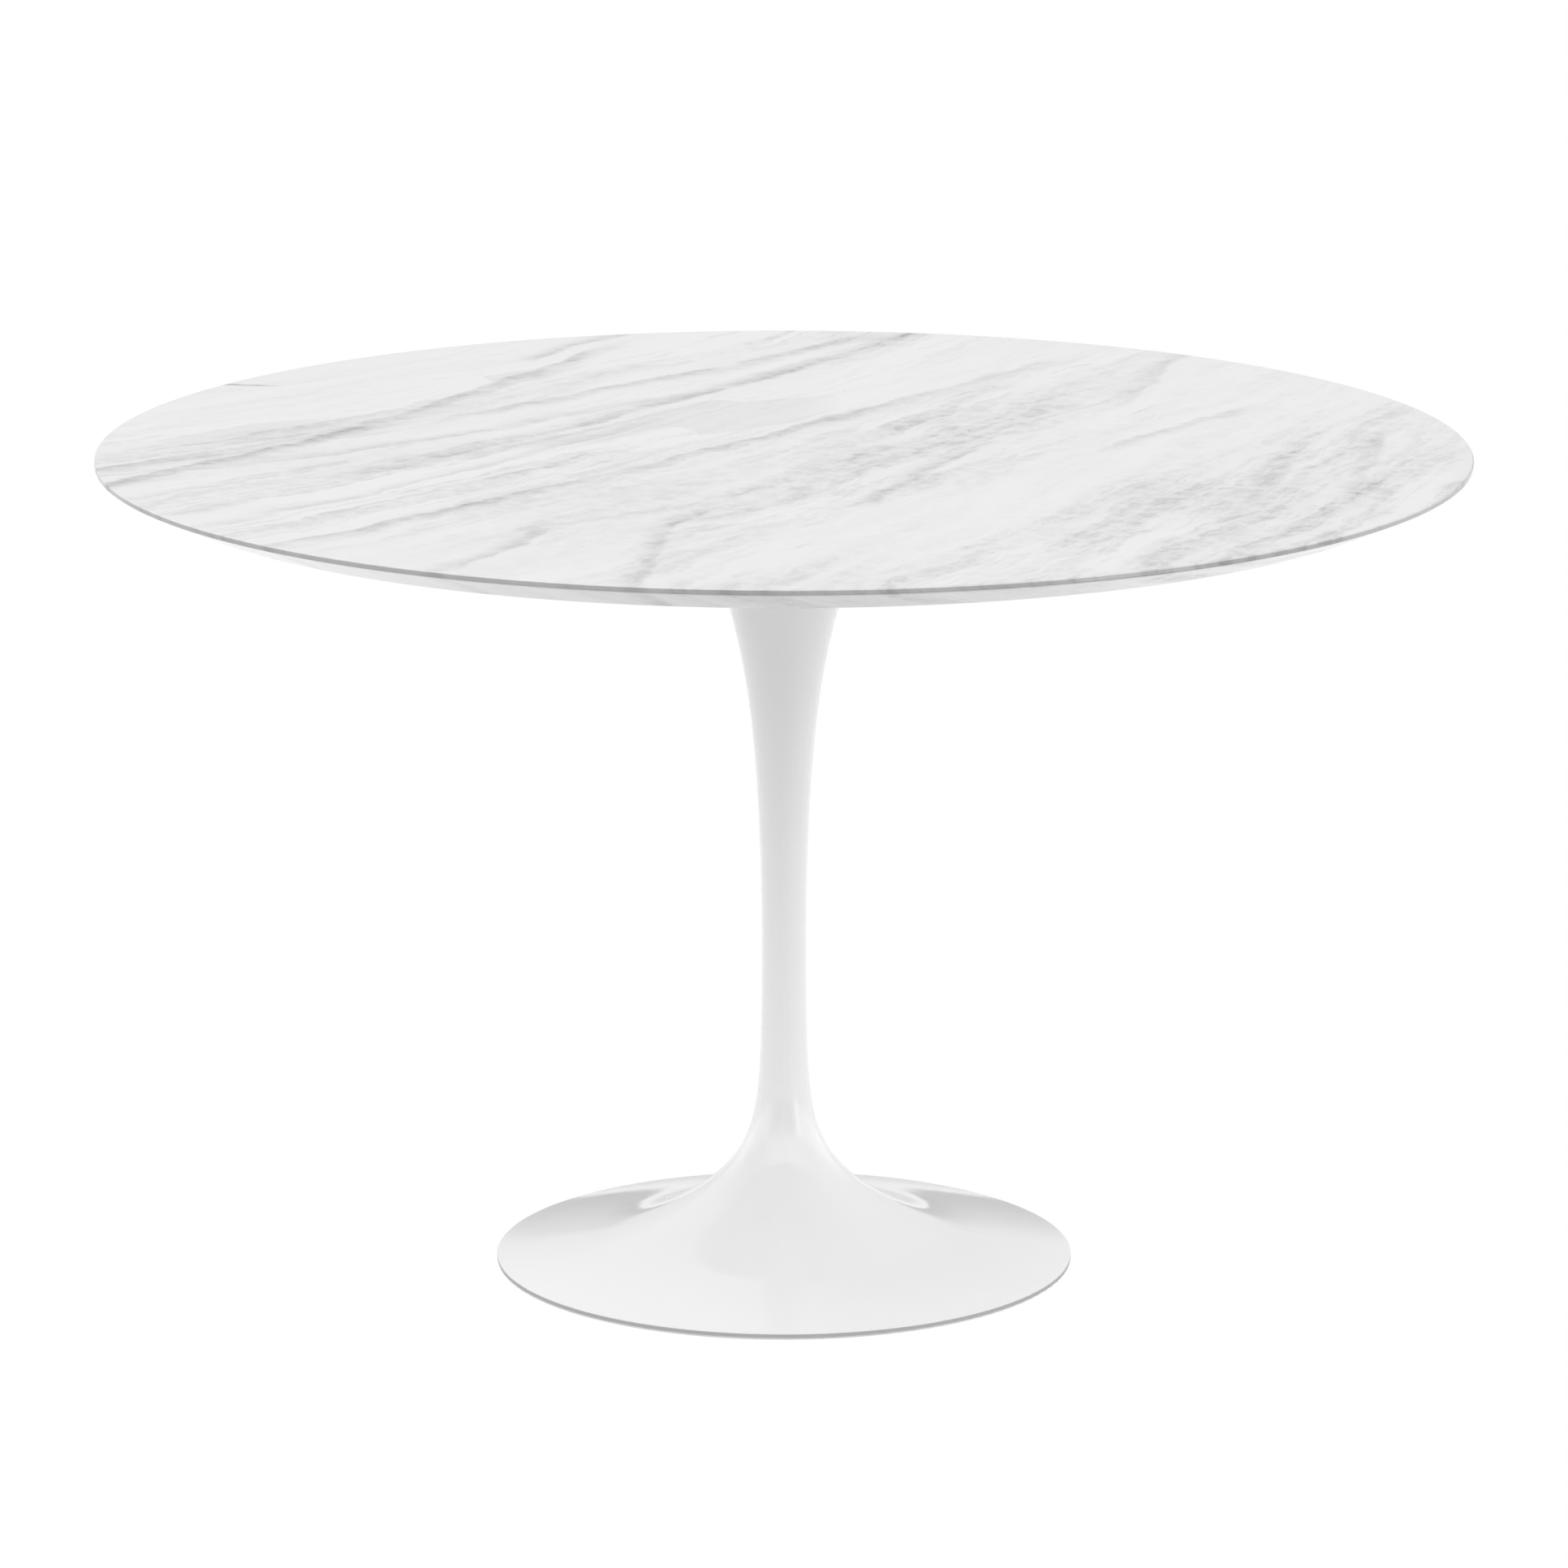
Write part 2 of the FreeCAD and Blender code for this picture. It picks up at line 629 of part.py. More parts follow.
def hex_nut(label, top):
    """A hexagon nut hanging from a height, with the corners of both faces turned off."""
    body = new_body(label)
    section = add_sketch(body, "NutSection", "XY_Plane", top)
    hexagon(section, "Sizes.nut_flats")
    circle(section, "Sizes.rod_radius")
    extrude(body, "Nut", section, "Sizes.nut_thickness", downwards=True)
    inscribed = "Sizes.nut_flats / 2"
    # The cut reaches past the corners by its own height times the chamfer's slope of 30 degrees.
    beyond = f"{inscribed} + Sizes.nut_chamfer * sqrt(3)"
    bottom = f"{top} - Sizes.nut_thickness"
    for name, face, inwards in (("TopTurning", top, "-"), ("BottomTurning", bottom, "+")):
        corner = add_sketch(body, f"{name}Profile", "XZ_Plane")
        polygon(corner, [(inscribed, face), (beyond, face), (beyond, f"{face} {inwards} Sizes.nut_chamfer")])
        revolve(body, name, corner, removes=True)
    return body


def flat_ring(label, bottom, thickness, radius, angle=None):
    """A washer on the tie rod; an angle short of a full turn leaves it split."""
    body = new_body(label)
    profile = add_sketch(body, "RingProfile", "XZ_Plane")
    rectangle(profile, "Sizes.washer_bore_radius", radius, bottom, f"{bottom} + {thickness}")
    revolve(body, "Ring", profile, angle=angle)
    return body


def tie_rod_pieces():
    """The rod with its jam nut under the boss, and the washers and nut that clamp its lower end."""
    return [
        tie_rod(),
        hex_nut("rod_jam_nut", BOSS_BOTTOM),
        flat_ring("clamp_washer", CLAMP_WASHER_BOTTOM, "Sizes.clamp_washer_thickness",
                  "Sizes.clamp_washer_radius"),
        flat_ring("spring_washer", SPRING_WASHER_BOTTOM, "Sizes.spring_washer_thickness",
                  "Sizes.spring_washer_radius", "Sizes.spring_washer_angle"),
        hex_nut("clamp_nut", SPRING_WASHER_BOTTOM),
    ]


# --- the whole table --------------------------------------------------------------------------------------


def make_sheet(document):
    """The sheet that holds the driving dimensions."""
    sheet = document.addObject("Spreadsheet::Sheet", "Sizes")
    for row, (alias, value) in enumerate(SIZES, 1):
        sheet.set(f"A{row}", alias)
        sheet.set(f"B{row}", str(value))
        sheet.setAlias(f"B{row}", alias)
    document.recompute()


def check(document, sub_parts):
    """Stops if any object failed or any sub-part's shape is missing or broken."""
    for item in document.Objects:
        if "Invalid" in item.State or "Error" in item.State:
            raise RuntimeError(f"{item.Name} is {item.State}")
    for sub_part in sub_parts:
        if sub_part.Shape.isNull() or not sub_part.Shape.isValid():
            raise RuntimeError(f"{sub_part.Label} has no valid shape")


def main():
    document = FreeCAD.newDocument("PedestalTable")
    make_sheet(document)
    sub_parts = [
        stone_top(),
        stone_inserts(),
        spider_pad(),
        top_spider(),
        spider_screws(),
        spider_washers(),
        mouth_gasket(),
        pedestal_casting(),
        glide_ring(),
    ] + tie_rod_pieces()
    document.recompute()
    check(document, sub_parts)
    os.makedirs("parts", exist_ok=True)
    for sub_part in sub_parts:
        shape = sub_part.Shape
        shape.exportStep(f"parts/{sub_part.Label}.step")
        box = shape.optimalBoundingBox(False)
        print(f"{sub_part.Label}: {len(shape.Solids)} solids, {shape.Volume / 1000:.1f} cm3, "
              f"radius {box.XMax:.2f}, z {box.ZMin:.2f} to {box.ZMax:.2f}")


main()
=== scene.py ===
import math

import bmesh
import bpy
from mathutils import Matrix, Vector


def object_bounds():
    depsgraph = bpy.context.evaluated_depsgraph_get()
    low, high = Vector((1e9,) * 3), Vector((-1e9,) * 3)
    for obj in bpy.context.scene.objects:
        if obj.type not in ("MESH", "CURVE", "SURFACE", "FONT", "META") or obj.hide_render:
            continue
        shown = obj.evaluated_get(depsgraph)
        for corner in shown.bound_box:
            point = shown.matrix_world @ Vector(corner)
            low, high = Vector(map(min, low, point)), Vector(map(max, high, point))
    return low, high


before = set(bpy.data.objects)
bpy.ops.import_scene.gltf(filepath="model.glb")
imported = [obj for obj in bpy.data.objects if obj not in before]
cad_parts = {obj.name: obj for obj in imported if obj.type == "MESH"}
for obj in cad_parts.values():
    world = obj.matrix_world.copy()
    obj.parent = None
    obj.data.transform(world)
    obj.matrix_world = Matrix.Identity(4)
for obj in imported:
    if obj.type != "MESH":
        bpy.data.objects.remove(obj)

CAD_LOW, CAD_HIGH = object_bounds()

# Metres and degrees, except where a comment says millimetres. The table stands on the floor at z = 0, and
# its axis is the Z axis.
MM = 0.001

# --- camera ------------------------------------------------------------------------------------------------

CAMERA_DISTANCE = 6.918
CAMERA_HEIGHT = 2.048
CAMERA_TILT = 13.15
# In millimetres.
CAMERA_LENS = 186.1
SENSOR = 36


def make_camera():
    """A long lens in front of the table, above its top and looking down at it."""
    data = bpy.data.cameras.new("camera")
    data.lens = CAMERA_LENS
    data.sensor_width = SENSOR
    camera = bpy.data.objects.new("camera", data)
    camera.location = (0, -CAMERA_DISTANCE, CAMERA_HEIGHT)
    camera.rotation_euler = (math.radians(90 - CAMERA_TILT), 0, 0)
    bpy.context.scene.collection.objects.link(camera)
    bpy.context.scene.camera = camera


# --- node helpers ------------------------------------------------------------------------------------------


class Graph:
    """A node tree, built with one call for each node. Inputs are numbers, vectors or other nodes' outputs."""

    def __init__(self, tree):
        self.tree = tree
        self.tree.nodes.clear()

    def node(self, kind, inputs=None, **settings):
        """Adds a node, sets its properties, and feeds its inputs by name or index."""
        made = self.tree.nodes.new(kind)
        for name, value in settings.items():
            setattr(made, name, value)
        for key, value in (inputs or {}).items():
            self.feed(made.inputs[key], value)
        return made

    def feed(self, socket, value):
        """Links an output to a socket, or sets the socket's own value."""
        if isinstance(value, bpy.types.NodeSocket):
            self.tree.links.new(value, socket)
        else:
            socket.default_value = value

    def math(self, operation, *values, clamp=False):
        inputs = dict(enumerate(values))
        return self.node("ShaderNodeMath", inputs, operation=operation, use_clamp=clamp).outputs[0]

    def vector(self, operation, *values):
        inputs = dict(enumerate(values))
        return self.node("ShaderNodeVectorMath", inputs, operation=operation).outputs[0]

    def combine(self, x=0.0, y=0.0, z=0.0):
        return self.node("ShaderNodeCombineXYZ", {"X": x, "Y": y, "Z": z}).outputs[0]

    def separate(self, vector):
        return self.node("ShaderNodeSeparateXYZ", {0: vector}).outputs

    def radius(self, x, y):
        """The distance from the Z axis."""
        return self.math("SQRT", self.math("ADD", self.math("MULTIPLY", x, x), self.math("MULTIPLY", y, y)))

    def noise(self, vector, scale, detail=2.0, roughness=0.5):
        """A noise texture node; its first output is the value and its second the colour."""
        inputs = {
            "Vector": vector,
            "Scale": scale,
            "Detail": detail,
            "Roughness": roughness,
        }
        return self.node("ShaderNodeTexNoise", inputs, noise_dimensions="3D")

    def ramp(self, value, low, high, to_low=0.0, to_high=1.0):
        """A smooth step from to_low at low to to_high at high."""
        inputs = {
            "Value": value,
            "From Min": low,
            "From Max": high,
            "To Min": to_low,
            "To Max": to_high,
        }
        return self.node("ShaderNodeMapRange", inputs, interpolation_type="SMOOTHSTEP").outputs[0]

    def ramps(self, vector, low, high, to_low, to_high):
        """Three smooth steps at once, one in each channel."""
        made = self.node("ShaderNodeMapRange", data_type="FLOAT_VECTOR", interpolation_type="SMOOTHSTEP")
        for index, value in enumerate((vector, low, high, to_low, to_high), 6):
            self.feed(made.inputs[index], value)
        return made.outputs[1]

    def mix(self, factor, first, second):
        """A colour between two colours."""
        made = self.node("ShaderNodeMix", {0: factor}, data_type="RGBA")
        self.feed(made.inputs[6], first)
        self.feed(made.inputs[7], second)
        return made.outputs[2]

    def blend(self, factor, first, second):
        """A number between two numbers."""
        made = self.node("ShaderNodeMix", {0: factor}, data_type="FLOAT")
        self.feed(made.inputs[2], first)
        self.feed(made.inputs[3], second)
        return made.outputs[0]

    def total(self, values):
        """The sum of several outputs."""
        result = values[0]
        for value in values[1:]:
            result = self.math("ADD", result, value)
        return result


def grey(level):
    return (level, level, level, 1.0)


def new_material(name):
    """An empty material, its graph and its principled shader, already linked to the output."""
    material = bpy.data.materials.new(name)
    material.use_nodes = True
    graph = Graph(material.node_tree)
    shader = graph.node("ShaderNodeBsdfPrincipled")
    output = graph.node("ShaderNodeOutputMaterial")
    graph.feed(output.inputs["Surface"], shader.outputs[0])
    return material, graph, shader


def object_space(graph):
    return graph.node("ShaderNodeTexCoord").outputs["Object"]


def add_bump(graph, shader, height, distance):
    """Bumps a shader by a height output, in millimetres for a height of one."""
    bump = graph.node("ShaderNodeBump", {"Height": height, "Distance": distance * MM, "Strength": 1.0})
    graph.feed(shader.inputs["Normal"], bump.outputs[0])


# The range that most of a noise texture's values lie in, and the index of refraction of a polished face.
NOISE_RANGE = (0.3, 0.7)
GLOSS_IOR = 1.5


def vary(graph, shader, noise, colours, roughnesses, noise_range=NOISE_RANGE):
    """Lets one noise output vary a shader's colour and its roughness, each between two values."""
    graph.feed(shader.inputs["Base Color"], graph.mix(noise, *colours))
    graph.feed(shader.inputs["Roughness"], graph.ramp(noise, *noise_range, *roughnesses))


# --- marble ------------------------------------------------------------------------------------------------

# The beds of the stone run along curves of y = slope x + bend x^2 + level, seen from above.
BED_SLOPE = 1.6
BED_BEND = 0.735
# How fast the level changes across the beds, at the middle and per metre to the right.
BED_RATE = 1.85
BED_RATE_GROWTH = 1.25

# How far the beds shift to the right for each metre below the top.
BED_LEAN = 0.8
# Two sizes of waviness that bend the beds: cycles per metre, how far each moves them, detail and roughness.
WAVES = (
    (3.2, 0.07, 2.0, 0.5),
    (17.0, 0.03, 4.0, 0.6),
)
# The levels between which the clouded bands on the right give way to the crisp ones on the left.
CRISP_LEVELS = (-0.1, 0.25)

# The greys of the ground and of the darkest vein, the roughness of the ground and what the darkest vein adds
# to it, and the height of the grain's bump in millimetres, with what such a vein adds as a part of that.
MARBLE_GROUND = 0.645
MARBLE_DARK = 0.15
MARBLE_ROUGHNESS, VEIN_ROUGHNESS = 0.12, 0.1
MARBLE_BUMP, VEIN_SINK = 0.03, -0.5

# The veins that stand out: the level each lies at, its drift in level per metre of y, where along y its
# middle is and how far it reaches each way, how wide its crisp side and its shaded side are in millimetres,
# which way the shaded side lies, and how dark it is. The shader takes them three at a time.
VEINS = (
    (0.625, 0.36, 0.15, 0.46, 8, 34, -1, 0.42),
    (0.590, 0.10, -0.12, 0.16, 6, 60, -1, 0.40),
    (0.385, 0.02, 0.40, 0.30, 10, 36, 1, 0.42),
    (0.515, -0.22, 0.38, 0.26, 9, 40, -1, 0.34),
    (0.285, 0.08, -0.12, 0.28, 6, 26, 1, 0.26),
    (0.370, 0.05, 0.02, 0.18, 6, 46, 1, 0.26),
    (0.460, -0.30, 0.08, 0.20, 6, 40, 1, 0.26),
    (0.115, -0.08, -0.12, 0.36, 8, 34, -1, 0.34),
    (0.050, -0.25, 0.28, 0.20, 10, 44, -1, 0.26),
    (-0.110, 0.35, -0.45, 0.14, 7, 24, 1, 0.30),
    (-0.270, 0.75, -0.42, 0.20, 7, 26, 1, 0.26),
    (-0.320, 0.20, -0.12, 0.14, 9, 34, 1, 0.26),
    (-0.250, 0.40, 0.38, 0.18, 8, 34, 1, 0.26),
    (-0.530, -0.20, 0.10, 0.12, 8, 30, -1, 0.24),
    (-0.960, 0.30, -0.20, 0.14, 8, 30, 1, 0.18),
    (-1.070, 0.60, -0.08, 0.18, 7, 26, 1, 0.20),
    (0.928, 3.80, 0.311, 0.010, 9, 26, 1, 0.80),
    (0.800, 0.20, 0.53, 0.10, 8, 30, 1, 0.34),
)

# Layers of bands that follow the beds, crisp on one side and fading on the other: cycles per unit of level
# and per metre, the noise value where each starts, how far it takes to fade, how dark it is, and its seed.
CRISP_BANDS = (
    (5.0, 0.9, 0.50, 0.10, 0.12, 1.0),
    (9.0, 1.2, 0.53, 0.09, 0.16, 2.0),
    (17.0, 1.8, 0.56, 0.07, 0.12, 3.0),
    (32.0, 3.0, 0.58, 0.06, 0.08, 4.0),
)
CLOUDED_BANDS = (
    (4.0, 1.2, 0.50, 0.20, 0.08, 5.0),
    (8.0, 2.0, 0.54, 0.16, 0.12, 6.0),
    (16.0, 4.5, 0.57, 0.12, 0.13, 7.0),
    (30.0, 9.0, 0.60, 0.10, 0.11, 8.0),
)
# The part of a vein's reach that it keeps its full strength along, and how far below its start, in noise
# values, a band of each kind begins to rise.
VEIN_FADE = 0.6
CRISP_RISE = 0.018
CLOUDED_RISE = 0.08
BAND_DETAIL, BAND_ROUGHNESS = 4.0, 0.55

# What varies the strength of bands and veins. A stretch is in cycles per unit of level and per metre, and a
# ramp is two noise values and the strengths at them. Open ground takes its table's last seed and a step.
MOTTLE_SCALE, MOTTLE_RAMP = 55.0, (0.36, 0.62, 0.55, 1.3)
OPEN_STRETCH, OPEN_RAMP, OPEN_SEED_STEP = (2.6, 1.3), (0.38, 0.62, 0.25, 1.2), 20.0
BREAK_STRETCH, BREAK_RAMP, BREAK_SEED = (9.0, 14.0), (0.3, 0.6, 0.4, 1.2), 13.0

# Flat angular patches: the stretch of their cells, the tones that show, where they gather, and how dark they
# are among the clouded and the crisp bands. Then the small dark flecks, and the grain of the whole stone.
PATCH_CELLS, PATCH_TONES = (9.0, 7.0), (0.62, 0.9)
PATCH_STRETCH, PATCH_RAMP, PATCH_SEED = (3.0, 3.0), (0.45, 0.6), 11.0
PATCH_DARKS = (0.03, 0.14)
FLECK_STRETCH, FLECK_RAMP, FLECK_SEED, FLECK_DARK = (30.0, 9.0), (0.66, 0.8), 12.0, 0.2
GRAIN_SCALE, GRAIN_DARK = 220.0, 0.06


def three_veins(graph, veins, level, along, rate):
    """The darkness of three veins at once, one in each channel: crisp on one side, shaded on the other."""
    levels, drifts, middles, reaches, cores, shades, sides, darks = zip(*veins)
    past_middle = graph.vector("SUBTRACT", graph.combine(along, along, along), middles)
    centre = graph.vector("MULTIPLY_ADD", past_middle, drifts, levels)
    across = graph.vector("SUBTRACT", graph.combine(level, level, level), centre)
    side_rate = graph.vector("DIVIDE", sides, graph.combine(rate, rate, rate))
    distance = graph.vector("MULTIPLY", across, side_rate)
    cores = tuple(-core * MM for core in cores)
    shades = tuple(shade * MM for shade in shades)
    fade_starts = tuple(reach * VEIN_FADE for reach in reaches)
    crisp_side = graph.ramps(distance, cores, (0, 0, 0), (0, 0, 0), (1, 1, 1))
    soft_side = graph.ramps(distance, (0, 0, 0), shades, (1, 1, 1), (0, 0, 0))
    fade = graph.ramps(graph.vector("ABSOLUTE", past_middle), fade_starts, reaches, darks, (0, 0, 0))
    shape = graph.vector("MULTIPLY", crisp_side, graph.vector("MULTIPLY", soft_side, soft_side))
    return graph.node("ShaderNodeVectorMath", {0: shape, 1: fade}, operation="DOT_PRODUCT").outputs["Value"]


def edged(graph, value, start, rise, fall):
    """A band with one crisp side: it rises just below a value and fades out above it."""
    crisp_side = graph.ramp(value, start - rise, start)
    soft_side = graph.ramp(value, start, start + fall, 1.0, 0.0)
    return graph.math("MULTIPLY", crisp_side, soft_side)


def waviness(graph, place, scale, shift, detail, roughness):
    """A sideways shift that follows a noise, by up to half of shift each way."""
    noise = graph.noise(place, scale, detail, roughness).outputs[1]
    centred = graph.vector("SUBTRACT", noise, (0.5, 0.5, 0.5))
    return graph.vector("MULTIPLY", centred, (shift, shift, 0.0))


# What the marble's tone is multiplied by on the upright edge, which is painted darker as painted shade, and
# on the bevel, which is painted paler as painted light, and the depths below the top, in millimetres, between
# which each one comes in.
EDGE_SHADE, BEVEL_SHADE = 0.61, 1.14
EDGE_DEPTHS = (0.3, 1.2)
BEVEL_DEPTHS = (3.6, 7.5)


def edge_shade_and_bevel_light(graph, colour, depth):
    """Paints shade on the slab's upright edge by greying it, and paints light on the bevel by making it a
    little paler.
    """
    edge = graph.ramp(depth, *(mark * MM for mark in EDGE_DEPTHS))
    bevel = graph.ramp(depth, *(mark * MM for mark in BEVEL_DEPTHS))
    shade = graph.blend(bevel, graph.blend(edge, 1.0, EDGE_SHADE), BEVEL_SHADE)
    return graph.vector("MULTIPLY", colour, graph.combine(shade, shade, shade))


def marble_material():
    """White marble: a pale ground with bedded bands, crisp to the left and clouded to the right."""
    material, graph, shader = new_material("marble")
    place = object_space(graph)

    # The waviness bends the beds, and the depth below the top shifts them.
    slow, quick = (waviness(graph, place, *wave) for wave in WAVES)
    x, y, z = graph.separate(graph.vector("ADD", place, graph.vector("ADD", slow, quick)))
    x = graph.math("MULTIPLY_ADD", graph.math("SUBTRACT", z, CAD_HIGH.z), BED_LEAN, x)
    curve = graph.math("MULTIPLY", graph.math("MULTIPLY_ADD", x, BED_BEND, BED_SLOPE), x)
    level = graph.math("SUBTRACT", y, curve)
    rate = graph.math("MULTIPLY_ADD", x, BED_RATE_GROWTH, BED_RATE)
    crisp = graph.ramp(level, *CRISP_LEVELS)
    clouded = graph.math("SUBTRACT", 1.0, crisp)

    def along_beds(stretch, seed):
        """A place along the beds, in cycles per unit of level and per metre."""
        across, along = stretch
        return graph.combine(graph.math("MULTIPLY", level, across), graph.math("MULTIPLY", y, along), seed)

    def bedded(stretch, seed, **shape):
        """Noise stretched along the beds."""
        return graph.noise(along_beds(stretch, seed), 1.0, **shape).outputs[0]

    # Small blotches that break every band and vein up.
    mottle = graph.ramp(graph.noise(place, MOTTLE_SCALE, 4.0, 0.65).outputs[0], *MOTTLE_RAMP)

    def bands(table, rise):
        """The sum of one table's layers of bands, with stretches of open ground between them."""
        layers = []
        for across, along, start, fall, dark, seed in table:
            value = bedded((across, along), seed, detail=BAND_DETAIL, roughness=BAND_ROUGHNESS)
            layers.append(graph.math("MULTIPLY", edged(graph, value, start, rise, fall), dark))
        open_seed = table[-1][-1] + OPEN_SEED_STEP
        open_ground = graph.ramp(bedded(OPEN_STRETCH, open_seed), *OPEN_RAMP)
        return graph.math("MULTIPLY", graph.total(layers), graph.math("MULTIPLY", open_ground, mottle))

    # Angular flat patches, as between fractures, small dark flecks, and the grain.
    cells = graph.node("ShaderNodeTexVoronoi", {"Vector": along_beds(PATCH_CELLS, 0.0), "Scale": 1.0})
    tone = graph.separate(cells.outputs["Color"])[0]
    gathered = graph.ramp(bedded(PATCH_STRETCH, PATCH_SEED), *PATCH_RAMP)
    patches = graph.math("MULTIPLY", graph.ramp(tone, *PATCH_TONES), gathered)
    flecks = graph.ramp(bedded(FLECK_STRETCH, FLECK_SEED), *FLECK_RAMP)
    grain = graph.noise(place, GRAIN_SCALE, 3.0, 0.7).outputs[0]

    # The named veins, broken up along their length.
    strength = graph.ramp(bedded(BREAK_STRETCH, BREAK_SEED, detail=3.0, roughness=0.65), *BREAK_RAMP)
    strength = graph.math("MULTIPLY", strength, graph.blend(0.5, 1.0, mottle))
    triples = (VEINS[first:first + 3] for first in range(0, len(VEINS), 3))
    veins = [three_veins(graph, triple, level, y, rate) for triple in triples]

    darkness = graph.total([
        graph.math("MULTIPLY", graph.total(veins), strength),
        graph.math("MULTIPLY", bands(CRISP_BANDS, CRISP_RISE), crisp),
        graph.math("MULTIPLY", bands(CLOUDED_BANDS, CLOUDED_RISE), clouded),
        graph.math("MULTIPLY", patches, graph.blend(crisp, *PATCH_DARKS)),
        graph.math("MULTIPLY", flecks, FLECK_DARK),
        graph.math("MULTIPLY_ADD", grain, GRAIN_DARK, -GRAIN_DARK / 2),
    ])
    darkness = graph.math("ADD", darkness, 0.0, clamp=True)
    colour = graph.mix(darkness, grey(MARBLE_GROUND), grey(MARBLE_DARK))
    depth = graph.math("SUBTRACT", CAD_HIGH.z, graph.separate(place)[2])
    # Painted shade on the upright edge and painted light on the bevel.
    graph.feed(shader.inputs["Base Color"], edge_shade_and_bevel_light(graph, colour, depth))
    roughness = graph.math("MULTIPLY_ADD", darkness, VEIN_ROUGHNESS, MARBLE_ROUGHNESS)
    graph.feed(shader.inputs["Roughness"], roughness)
    shader.inputs["IOR"].default_value = GLOSS_IOR
    add_bump(graph, shader, graph.math("MULTIPLY_ADD", darkness, VEIN_SINK, grain), MARBLE_BUMP)
    return material


# --- the other materials -----------------------------------------------------------------------------------


# The white coat: its two greys, its two roughnesses, and the orange peel's cycles per metre and height in
# millimetres.
COAT_GREYS = (0.82, 0.84)
COAT_ROUGHNESSES = (0.05, 0.08)
PEEL_SCALE, PEEL_BUMP = 420.0, 0.02
# The painted shade on the upright band of the pedestal's rim, in millimetres: its lower and upper edges and
# how soft they are, the radii between which it comes in, and its grey.
RIM_SHADE_BAND, RIM_SOFTNESS = (2.9, 6.3), 0.4
RIM_RADII = (252.5, 253.5)
RIM_SHADE_GREY = 0.415


def rim_shade_band(graph, place):
    """One on the upright band of the rim, where shade is painted, and zero elsewhere."""
    x, y, z = graph.separate(place)
    low, high, soft = (size * MM for size in (*RIM_SHADE_BAND, RIM_SOFTNESS))
    above = graph.ramp(z, low - soft, low + soft)
    below = graph.ramp(z, high - soft, high + soft, 1.0, 0.0)
    outside = graph.ramp(graph.radius(x, y), *(radius * MM for radius in RIM_RADII))
    return graph.math("MULTIPLY", graph.math("MULTIPLY", above, below), outside)


def coated_material():
    """A thick white gloss coat over a casting, with a faint orange peel, and painted shade on the upright
    band of the rim.
    """
    material, graph, shader = new_material("white_coating")
    place = object_space(graph)
    tone = graph.noise(place, 6.0, 3.0).outputs[0]
    colour = graph.mix(tone, *(grey(level) for level in COAT_GREYS))
    # Painted shade: the rim's upright band is greyed.
    graph.feed(shader.inputs["Base Color"], graph.mix(rim_shade_band(graph, place), colour, grey(RIM_SHADE_GREY)))
    graph.feed(shader.inputs["Roughness"], graph.ramp(tone, *NOISE_RANGE, *COAT_ROUGHNESSES))
    peel = graph.noise(place, PEEL_SCALE, 2.0, 0.4).outputs[0]
    shader.inputs["IOR"].default_value = GLOSS_IOR
    add_bump(graph, shader, peel, PEEL_BUMP)
    return material


def cast_iron_material():
    """Black paint over a sand-cast surface, a little paler in patches."""
    material, graph, shader = new_material("spider_iron")
    place = object_space(graph)
    sand = graph.noise(place, 380.0, 6.0, 0.65).outputs[0]
    wide = graph.noise(place, 30.0, 4.0).outputs[0]
    colour = graph.mix(graph.ramp(wide, 0.35, 0.7), grey(0.022), grey(0.045))
    graph.feed(shader.inputs["Base Color"], colour)
    graph.feed(shader.inputs["Roughness"], graph.ramp(sand, *NOISE_RANGE, 0.45, 0.65))
    add_bump(graph, shader, sand, 0.25)
    return material


# Turning marks on steel, in cycles per metre.
TURNING_MARKS = 2500.0


def steel_material(name, level, roughness):
    """Plated steel with fine turning marks round the table's axis."""
    material, graph, shader = new_material(name)
    place = object_space(graph)
    x, y, z = graph.separate(place)
    outwards = graph.math("MULTIPLY", graph.radius(x, y), TURNING_MARKS)
    upwards = graph.math("MULTIPLY", z, TURNING_MARKS)
    marks = graph.noise(graph.combine(outwards, 0.0, upwards), 1.0, 3.0).outputs[0]
    stain = graph.noise(place, 90.0, 4.0).outputs[0]
    vary(graph, shader, stain, (grey(level * 0.85), grey(level)), (roughness, roughness + 0.12))
    shader.inputs["Metallic"].default_value = 1.0
    add_bump(graph, shader, marks, 0.03)
    return material


def brass_material():
    """Brass, lightly stained."""
    material, graph, shader = new_material("insert_brass")
    stain = graph.noise(object_space(graph), 120.0, 4.0).outputs[0]
    vary(graph, shader, stain, ((0.5, 0.34, 0.12, 1), (0.7, 0.5, 0.2, 1)), (0.25, 0.4))
    shader.inputs["Metallic"].default_value = 1.0
    return material


def rubber_material():
    """Matt black rubber with a fine grain."""
    material, graph, shader = new_material("pad_rubber")
    grain = graph.noise(object_space(graph), 700.0, 4.0, 0.6).outputs[0]
    vary(graph, shader, grain, (grey(0.018), grey(0.035)), (0.75, 0.9))
    add_bump(graph, shader, grain, 0.1)
    return material


def polymer_material():
    """The glide ring's pale grey polymer, lightly scuffed."""
    material, graph, shader = new_material("glide_polymer")
    scuff = graph.noise(object_space(graph), 160.0, 5.0, 0.6).outputs[0]
    vary(graph, shader, scuff, (grey(0.5), grey(0.62)), (0.4, 0.6), noise_range=(0.35, 0.65))
    add_bump(graph, shader, scuff, 0.03)
    return material


# --- stage -------------------------------------------------------------------------------------------------

FLOOR_RADIUS = 60
FLOOR_SEGMENTS = 96
FLOOR_WHITE = 0.5
FLOOR_GLOW = 0.22
# The floor glows as a painted light, more on the sweep behind the table, and is painted darker in front,
# under the camera, as painted shade: how far the glow rises, how much of the floor's light is left, and the
# distances between which each comes in.
SWEEP_GLOW, SWEEP_FROM, SWEEP_FULL = 0.16, 0.3, 0.6
FRONT_SHADE, FRONT_FROM, FRONT_FULL = 0.75, 0.5, 1.2
